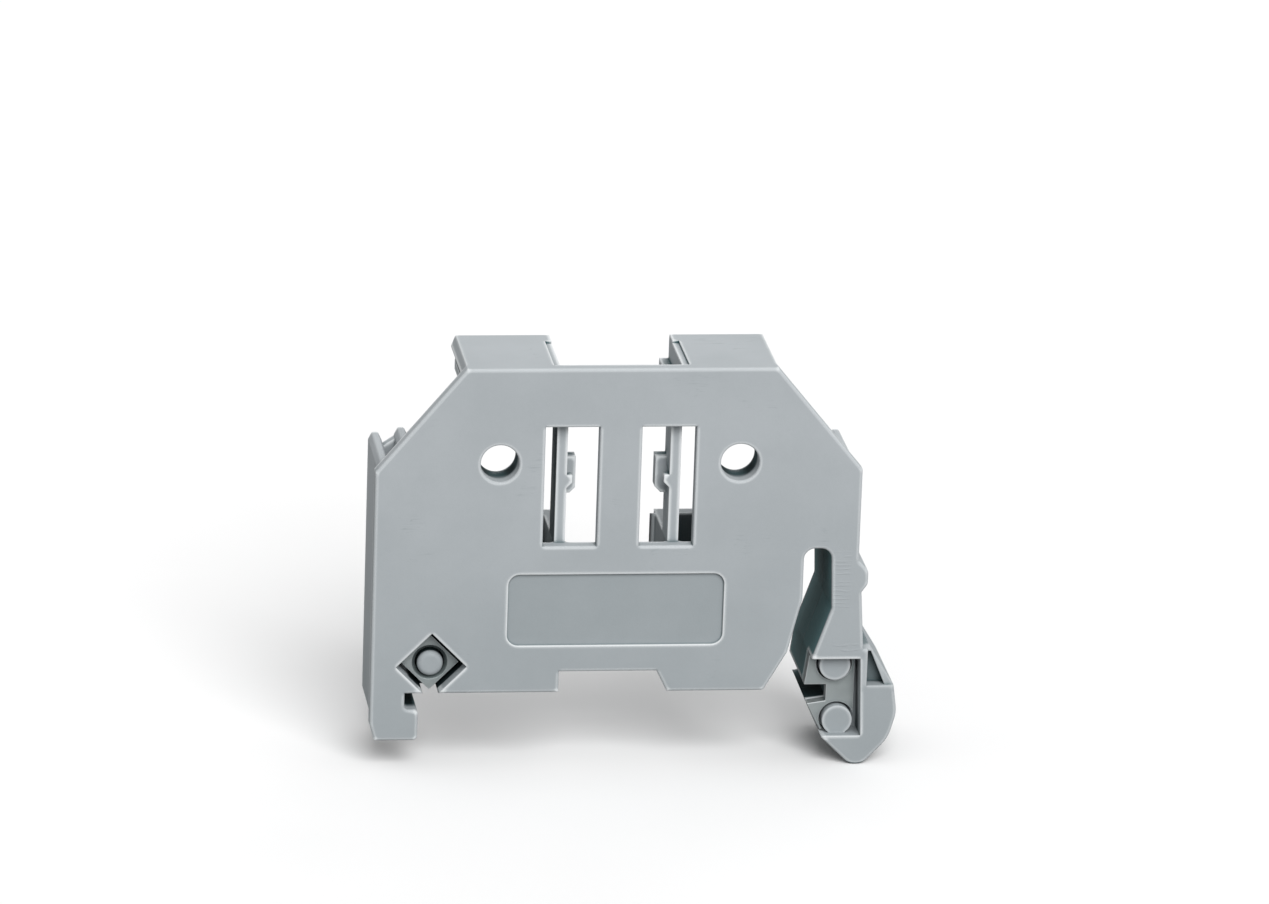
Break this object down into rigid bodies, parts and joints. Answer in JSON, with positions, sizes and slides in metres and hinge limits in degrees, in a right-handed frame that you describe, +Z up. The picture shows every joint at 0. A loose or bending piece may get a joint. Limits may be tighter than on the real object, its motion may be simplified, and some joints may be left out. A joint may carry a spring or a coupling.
{
  "type": "din rail end stop",
  "caption": "Screwless clip-on end stop for a 35 mm mounting rail, with marker-tag rails on top and rocking clamping plates that grip the rail.",
  "frame": {"origin": "middle of the two windows, in the front face, at the level of the rail's top face", "axes": "+X across the rail towards the snap foot, +Y along the rail away from the front face, +Z up from the rail"},
  "size_m": [0.0441, 0.01, 0.0346],
  "materials": {
    "moulding": "fine-textured moulded polyamide",
    "clamping_metal": "zinc-plated, satin"
  },
  "bodies": {
    "housing_body": {"housing": "moulding"},
    "left_clamp": {"left_clamping_plate": "clamping_metal"},
    "right_clamp": {"right_clamping_plate": "clamping_metal"}
  },
  "joints": [
    {"name": "left_clamp_rock", "type": "hinge", "parent": "housing_body", "child": "left_clamp", "pos_m": [-0.0152, 0.0019, 0.0023], "axis": [1, 0, 0], "range_deg": [-4, 4]},
    {"name": "right_clamp_rock", "type": "hinge", "parent": "housing_body", "child": "right_clamp", "pos_m": [0.0185, 0.0019, -0.0007], "axis": [1, 0, 0], "range_deg": [-3, 3]}
  ]
}
